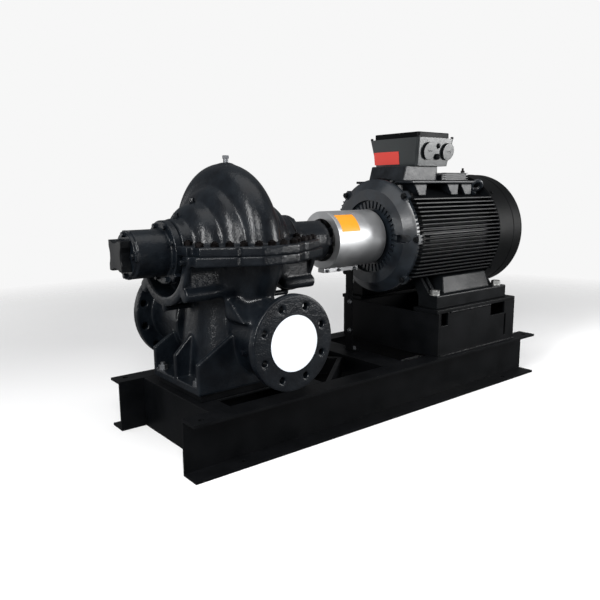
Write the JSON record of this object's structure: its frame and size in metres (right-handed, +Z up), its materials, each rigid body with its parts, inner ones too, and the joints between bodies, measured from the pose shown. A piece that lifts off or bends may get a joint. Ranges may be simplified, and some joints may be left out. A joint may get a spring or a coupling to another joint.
{
  "type": "split case pump set",
  "caption": "Horizontal split case pump coupled to a foot-mounted electric motor on a welded channel base frame.",
  "frame": {"origin": "middle of the base frame's footprint, on the floor", "axes": "+X along the shaft from the pump's free end to the motor's fan, +Y towards the suction nozzle, +Z up"},
  "size_m": [1.631, 0.66, 0.944],
  "materials": {
    "amber_plate": "satin",
    "bright_steel": "zinc plated",
    "casting_paint": "semi-gloss black paint on cast iron",
    "cowl_paint": "satin black paint on sheet steel",
    "dark_cover": "satin",
    "frame_paint": "semi-gloss black paint on welded steel channel",
    "guard_steel": "brushed",
    "motor_paint": "satin black paint on cast iron",
    "red_plate": "satin",
    "terminal_box_paint": "satin dark grey paint",
    "white_cover": "gloss"
  },
  "bodies": {
    "root": {"centre_crossmember": "frame_paint", "coupling_guard": "guard_steel", "discharge_cover_disc": "white_cover", "drive_end_bearing_cap": "casting_paint", "drive_end_bearing_housing": "casting_paint", "drive_end_shield": "motor_paint", "fan_cowl": "cowl_paint", "fan_end_shield": "motor_paint", "fan_side_cable_plug": "terminal_box_paint", "free_end_bearing_cap": "casting_paint", "free_end_bearing_housing": "casting_paint", "front_diagonal_brace": "frame_paint", "front_foot_bearer": "frame_paint", "front_motor_foot": "motor_paint", "front_pedestal_cap": "frame_paint", "front_pedestal_plate": "frame_paint", "front_rail": "frame_paint", "guard_bracket": "frame_paint", "guard_plate": "amber_plate", "guard_seam": "guard_steel", "lower_casing": "casting_paint", "motor_end_crossmember": "frame_paint", "pedestal_end_plate": "frame_paint", "pedestal_pump_side_plate": "frame_paint", "pump_end_crossmember": "frame_paint", "pump_inner_crossmember": "frame_paint", "pump_packing_plate": "frame_paint", "pump_side_cable_plug": "terminal_box_paint", "rear_diagonal_brace": "frame_paint", "rear_foot_bearer": "frame_paint", "rear_motor_foot": "motor_paint", "rear_pedestal_cap": "frame_paint", "rear_pedestal_plate": "frame_paint", "rear_rail": "frame_paint", "shaft_coupling": "bright_steel", "stator_frame": "motor_paint", "suction_cover_disc": "dark_cover", "terminal_box": "terminal_box_paint", "terminal_box_lid": "terminal_box_paint", "terminal_box_neck": "terminal_box_paint", "terminal_box_plate": "red_plate", "terminal_box_shelf": "terminal_box_paint", "upper_casing": "casting_paint", "vent_plug": "bright_steel"}
  },
  "joints": []
}
